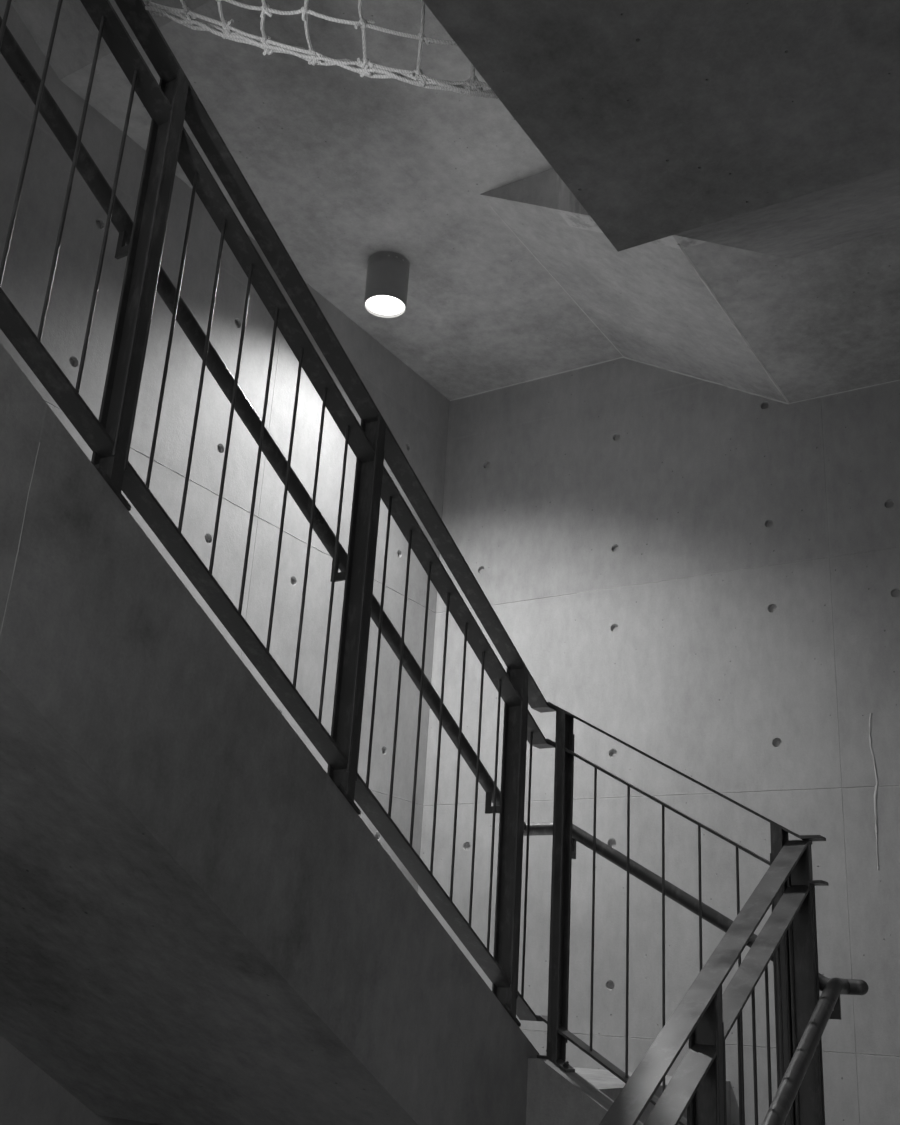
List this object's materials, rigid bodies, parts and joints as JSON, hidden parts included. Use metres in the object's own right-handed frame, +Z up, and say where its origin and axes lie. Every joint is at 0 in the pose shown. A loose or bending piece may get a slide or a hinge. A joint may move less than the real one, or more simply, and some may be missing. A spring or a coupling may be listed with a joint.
{
  "type": "concrete stairwell shaft section",
  "caption": "Exposed concrete stairwell with an open well, turning flights, dark flat-bar railings, a tube handrail, a ceiling lamp and a rope safety net.",
  "frame": {"origin": "centre of the shaft's footprint, at the underside of the base slab", "axes": "+Z up; +Y from the open side to the end wall; +X to the right as seen from the open side"},
  "size_m": [3.673, 6.2, 7.32],
  "materials": {
    "concrete": "fair-faced cast concrete with tie holes and panel joints",
    "railing_steel": "satin dark grey paint, a little dusty",
    "handrail_steel": "satin dark grey paint, rubbed",
    "lamp_body": "satin grey powder coat",
    "lamp_lens": "frosted lit lens",
    "net_rope": "braided pale rope"
  },
  "bodies": {
    "root": {"base_slab": "concrete", "cross_flight": "concrete", "cross_flight_string": "concrete", "cross_handrail": "handrail_steel", "cross_railing": "railing_steel", "cross_top_rail": "railing_steel", "end_wall": "concrete", "lamp_body": "lamp_body", "lamp_lens": "lamp_lens", "left_landing": "concrete", "long_wall": "concrete", "lower_flight": "concrete", "lower_flight_string": "concrete", "lower_handrail": "handrail_steel", "lower_railing": "railing_steel", "lower_top_rail": "railing_steel", "main_flight": "concrete", "main_flight_string": "concrete", "main_handrail": "handrail_steel", "main_railing": "railing_steel", "main_top_rail": "railing_steel", "right_landing": "concrete", "right_wall": "concrete", "safety_net": "net_rope", "top_floor_railing": "railing_steel", "top_floor_slab": "concrete", "top_floor_top_rail": "railing_steel", "upper_cross_flight": "concrete", "upper_cross_flight_string": "concrete", "upper_cross_handrail": "handrail_steel", "upper_cross_railing": "railing_steel", "upper_cross_top_rail": "railing_steel", "upper_floor_near_railing": "railing_steel", "upper_floor_near_top_rail": "railing_steel", "upper_floor_side_railing": "railing_steel", "upper_floor_side_top_rail": "railing_steel", "upper_floor_slab": "concrete", "upper_left_landing": "concrete", "upper_lower_flight": "concrete", "upper_lower_flight_string": "concrete", "upper_lower_handrail": "handrail_steel", "upper_lower_railing": "railing_steel", "upper_lower_top_rail": "railing_steel", "upper_main_flight": "concrete", "upper_main_flight_string": "concrete", "upper_main_handrail": "handrail_steel", "upper_main_railing": "railing_steel", "upper_main_top_rail": "railing_steel", "upper_right_landing": "concrete"}
  },
  "joints": []
}
